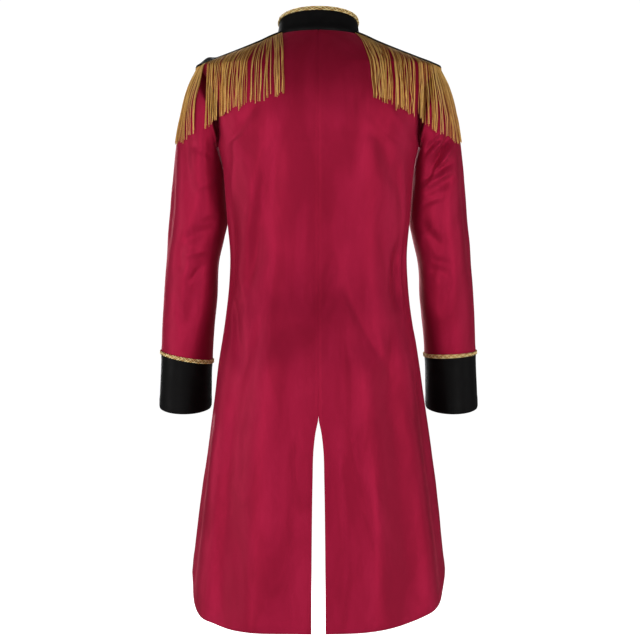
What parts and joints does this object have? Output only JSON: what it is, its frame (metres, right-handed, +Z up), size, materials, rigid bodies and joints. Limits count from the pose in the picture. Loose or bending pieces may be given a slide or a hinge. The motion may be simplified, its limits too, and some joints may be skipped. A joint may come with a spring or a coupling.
{
  "type": "ringmaster tailcoat",
  "caption": "Long burgundy velvet tailcoat, worn and hollow, with black standing collar and cuffs, gold braid, and black shoulder boards edged with gold fringe.",
  "frame": {"origin": "centre of the neck opening, at the height where neck seam and shoulder seam meet; the wearer's shoulders hold the coat up there", "axes": "+X to the wearer's left, +Y to the wearer's back, +Z up"},
  "size_m": [0.5856, 0.2779, 1.1005],
  "materials": {
    "burgundy_velvet": "burgundy velvet, pile with a soft sheen",
    "black_satin": "black satin",
    "gold_thread": "gold metallic thread"
  },
  "bodies": {
    "root": {"back_left": "burgundy_velvet", "back_right": "burgundy_velvet", "front_left": "burgundy_velvet", "front_right": "burgundy_velvet", "sleeve_left": "burgundy_velvet", "sleeve_right": "burgundy_velvet", "cuff_left": "black_satin", "cuff_right": "black_satin", "collar": "black_satin", "shoulder_board_left": "black_satin", "shoulder_board_right": "black_satin", "collar_braid": "gold_thread", "cuff_braid_left": "gold_thread", "cuff_braid_right": "gold_thread", "fringe_left": "gold_thread", "fringe_right": "gold_thread"}
  },
  "joints": []
}
